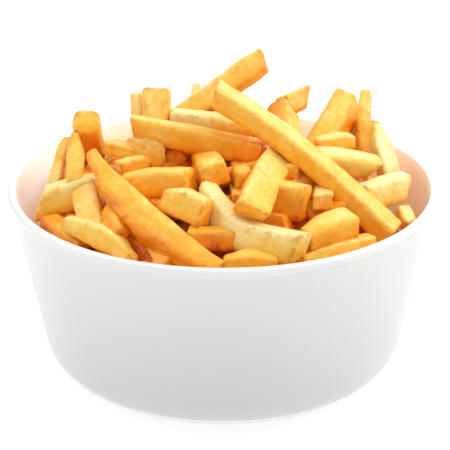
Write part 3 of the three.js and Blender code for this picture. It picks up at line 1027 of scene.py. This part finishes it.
FRONT_FRIES = (
    Fry((-59, -45, 77.5), (-33, -66, 71.5), 10.5, 9, 0.24, 20, (0.7, 0.45), (-2, 1), 0.15),
    Fry((-40, -44, 74), (-24, -64, 66.5), 9, 9, 1.0, 30, (0.8, 0.7)),
    Fry((-42, -43, 80.5), (-37.5, -57, 77), 9, 9, 0.75, 30, (0.9, 0.8)),
    Fry((-55, -49, 72), (-48, -30, 69), 8, 8, 0.7, 0, (0.8, 1)),
    Fry((-67, -28, 70.5), (-52, -50, 69.5), 8, 8, 0.8, 0, (0.9, 0.9)),
    Fry((-13, -60, 78), (12, -58, 77), 8, 8, 0.75),
    Fry((0, -71, 72.5), (20, -71, 72.5), 8, 7, 0.6, 0, (0.8, 0.8), (0, 1)),
    Fry((28, -67, 70.5), (56, -50, 71), 8, 8, 0.45, 10, (0.8, 1), (0, 1)),
    Fry((30, -62, 77), (48, -50, 79.8), 10.5, 10.5, 0.6, -8, (0.75, 1), (0, 1), 0, SQUARE),
)

RIGHT_FRIES = (
    Fry((35, -14, 89.5), (58, -10, 86), 11.5, 10, 0.38, -5, (1, 0.8), (0, 1), 0.05,
        ((0, 0), (0, 0.9))),
    Fry((53, -27, 80), (70, -15.5, 80.5), 8.5, 11, 0.12, 5, (1, 0.95), (0, 0), 0.1,
        ((0, 0), (0, 0.4))),
    Fry((37, -40, 83.5), (40, -15, 80), 7.5, 7, 0.3),
    # painted shade: a dark fry that fills the shaded gap under the long fries
    Fry((-7, 14, 98), (15.5, 4, 95), 9, 10, 0.85),
    Fry((69, -23, 74), (71.5, -30.5, 69.5), 5.5, 6, 0.3),
    Fry((37, -4, 88), (50.5, 26, 101.5), 12.5, 12, 0.82, 5, (1, 0.85), end_browning_and_shade=-0.2),
    Fry((58.8, 40, 100), (56.5, 24, 83.5), 5.5, 6, ends=(0.8, 1)),
    Fry((60.5, 11, 97), (66, -5, 77), 8, 7, 0.16, 10, (0.35, 1)),
    Fry((57.5, 14, 96.8), (58.5, 2, 80), 10, 7, 0.6),
    Fry((36, -6, 94), (50.5, -1, 94), 7, 6, 0.5),
    Fry((54.8, 25, 98), (53.8, 12, 85), 6, 6, 0.45),
    Fry((24, 17, 101.5), (32.5, 25, 102.5), 8, 8.5, 0.5, 30, end_browning_and_shade=0.1, slants=((0, 0), (0, 1))),
    Fry((23.5, 9, 102), (25.5, 0, 93), 10, 10, roll=45, slants=((-0.9, -0.2), (0, 0))),
)

LAID = (
    Layer(24, 11, 1, 70, behind=-38, tone=(0.45, 0.35)),
    Layer(44, 8, 2, 60, behind=14),
    Layer(60, 6, 3, 74, behind=20, beyond=56),
)

BURIED = (Layer(40, 14, 5, 66, tone=(0.72, 0.25)), Layer(40, 19, 7, 70, tone=(0.75, 0.25)))


@dataclass(frozen=True)
class Heap:
    """The fries in the bowl: those that lie on top, those laid under them, and the bed."""

    form: Form
    bed_below: float = 17.0  # top of the bed under the top of the heap
    shoulder: float = 46.0  # height at which the bed leaves the wall
    gap: float = 0.4  # room between the bed and the bowl

    BED_SIDES = 120
    # painted shade: the bed is fried dark so that the gaps between the fries look shaded
    BED_SHADE_TONE = 0.95
    CROWN_RINGS = 40
    CROWN_EASE = 9.0  # distance from the shoulder over which the crown rises
    BUMPS = (2.2, 15.0, 77)  # height, wavelength and seed of its bumps

    def bed(self) -> Surface:
        """Work out the bed: a plug that fills the bowl under a crown.

        It is turned from the floor up the wall to the shoulder and in to the middle; there
        its height is the heap's top less the bed's depth, with waves of fry size. Its dark
        tone is painted shade for the gaps between the fries.

        Returns:
            The closed surface.
        """
        bowl = self.form.bowl
        floor = bowl.floor + self.gap
        arc = bowl.corner_arc(bowl.inside(floor) - self.gap, floor, bowl.inner_corner, 8)
        wall_z = np.linspace(arc[-1, 1], self.shoulder, 8)[1:]
        wall_r = bowl.inside(wall_z) - self.gap
        crown_r = np.linspace(wall_r[-1] - 1.0, 0.0, self.CROWN_RINGS)
        stretches = [
            side_by_side([0.0, arc[0, 0] / 2.0], floor),
            arc,
            side_by_side(wall_r, wall_z),
            side_by_side(crown_r, bowl.height),
        ]
        rings = bowl.turned(np.concatenate(stretches), self.BED_SIDES)
        crown = rings[-self.CROWN_RINGS :]
        high, wave, seed = self.BUMPS
        bumps = high * ripple(crown * (1.0, 1.0, 0.0), seed, wave)
        top = self.form.top(crown[..., 0], crown[..., 1]) - self.bed_below + bumps
        share = ease((wall_r[-1] - crown_r) / self.CROWN_EASE)[:, None]
        crown[..., 2] = self.shoulder + share * (top - self.shoulder)
        values = dict.fromkeys(("edge", "tip", "rim", "top", "rise"), 0.0)
        values |= {"tone": self.BED_SHADE_TONE, "run": rings[..., 0], "side": rings[..., 1]}
        return Surface.closed(rings, values)

    def build(self) -> None:
        """Make every fry and the bed in place of the plain heap."""
        short = MIDDLE_FRIES + LEFT_FRIES + FRONT_FRIES + RIGHT_FRIES
        laid, buried = (
            [fry for layer in layers for fry in layer.fries(self.form)] for layers in (LAID, BURIED)
        )
        batches = {
            "long_fries": (LONG_FRIES, Make.FINE),
            "short_fries": (short, Make.FINE),
            "laid_fries": (laid, Make.PLAIN),
            "buried_fries": (buried, Make.PLAIN),
        }
        surfaces = {}
        number = 0
        for name, (fries, make) in batches.items():
            made = [fry.surface(number + i, make) for i, fry in enumerate(fries)]
            surfaces[name] = Surface.joined(made)
            number += len(fries)
            LOG.info("%s: %d fries", name, len(fries))
        surfaces["fries_bed"] = self.bed()
        finish = FriedPotato().material()
        for name, surface in surfaces.items():
            piece = surface.piece(name, finish, "fries")
            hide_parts("fries")


# ------ the studio


def stand(name: str, data: ID, place: Triple, target: Triple) -> Object:
    """Put a camera or a light into the scene.

    Args:
        name: The object's name.
        data: The camera or the light.
        place: Where it stands, in metres.
        target: The point that it faces.

    Returns:
        The object.
    """
    made = bpy.data.objects.new(name, data)
    made.location = place
    way = Vector(target) - Vector(place)
    made.rotation_euler = way.to_track_quat("-Z", "Y").to_euler()
    bpy.context.scene.collection.objects.link(made)
    return made


@dataclass(frozen=True)
class Softbox:
    """A square light that faces the bowl."""

    name: str
    place: Triple  # where it hangs, in metres
    size: float  # length of its side, in metres
    power: float  # in watts

    def build(self, target: Triple) -> None:
        """Hang the light.

        Args:
            target: The point that it faces.
        """
        lamp = bpy.data.lights.new(self.name, "AREA")
        lamp.size = self.size
        lamp.energy = self.power
        stand(self.name, lamp, self.place, target)


@dataclass(frozen=True)
class Studio:
    """The camera, the pale table and the soft light."""

    eye: Triple = (0.00075, -0.6904, 0.3505)  # where the camera stands, in metres
    aim: Triple = (0.00075, 0.0, 0.0575)  # the point that it looks at
    lens: float = 150.0  # its focal length in millimetres
    table: float = 4.0  # half the table's width, in metres
    sky: float = 0.36  # strength of the light from all round
    boxes: tuple[Softbox, ...] = (
        Softbox("light_above", (0.3, 0.2, 1.0), 0.9, 4.2),
        Softbox("light_behind", (0.1, 1.1, 0.5), 1.0, 5.0),
        Softbox("light_front", (0.15, -1.1, 0.75), 0.9, 3.0),
        Softbox("light_right", (0.85, 0.0, 0.8), 0.7, 6.5),
        Softbox("light_left", (-0.85, 0.0, 0.7), 0.8, 5.0),
    )

    def _camera(self) -> None:
        """Stand the camera and make it the scene's own."""
        lens = bpy.data.cameras.new("camera")
        lens.lens = self.lens
        lens.clip_start = 0.01
        bpy.context.scene.camera = stand("camera", lens, self.eye, self.aim)

    def _table(self) -> None:
        """Lay the pale table under the bowl."""
        mesh = bpy.data.meshes.new("table")
        turns = ((-1.0, -1.0), (1.0, -1.0), (1.0, 1.0), (-1.0, 1.0))
        corners = [(self.table * x, self.table * y, 0.0) for x, y in turns]
        mesh.from_pydata(corners, [], [(0, 1, 2, 3)])
        mesh.materials.append(PaleTable().material())
        made = bpy.data.objects.new("table", mesh)
        bpy.context.scene.collection.objects.link(made)

    def _sky(self) -> None:
        """Light the scene evenly from all round."""
        world = bpy.data.worlds.new("studio")
        world.use_nodes = True
        background = world.node_tree.nodes["Background"]
        background.inputs["Color"].default_value = (*WHITE, 1.0)
        background.inputs["Strength"].default_value = self.sky
        bpy.context.scene.world = world

    def build(self) -> None:
        """Set the studio up."""
        self._camera()
        self._table()
        self._sky()
        for box in self.boxes:
            box.build(self.aim)
        bpy.context.scene.view_settings.view_transform = "Standard"
        LOG.info("studio: %d softboxes", len(self.boxes))


# ------ the whole


def main() -> None:
    """Build the studio, the bowl and the fries, and report each."""
    logging.basicConfig(level=logging.INFO, format="%(name)s %(message)s")
    Studio().build()
    bowl = Bowl()
    bowl.build()
    Heap(Form(bowl)).build()


if __name__ == "__main__":
    main()
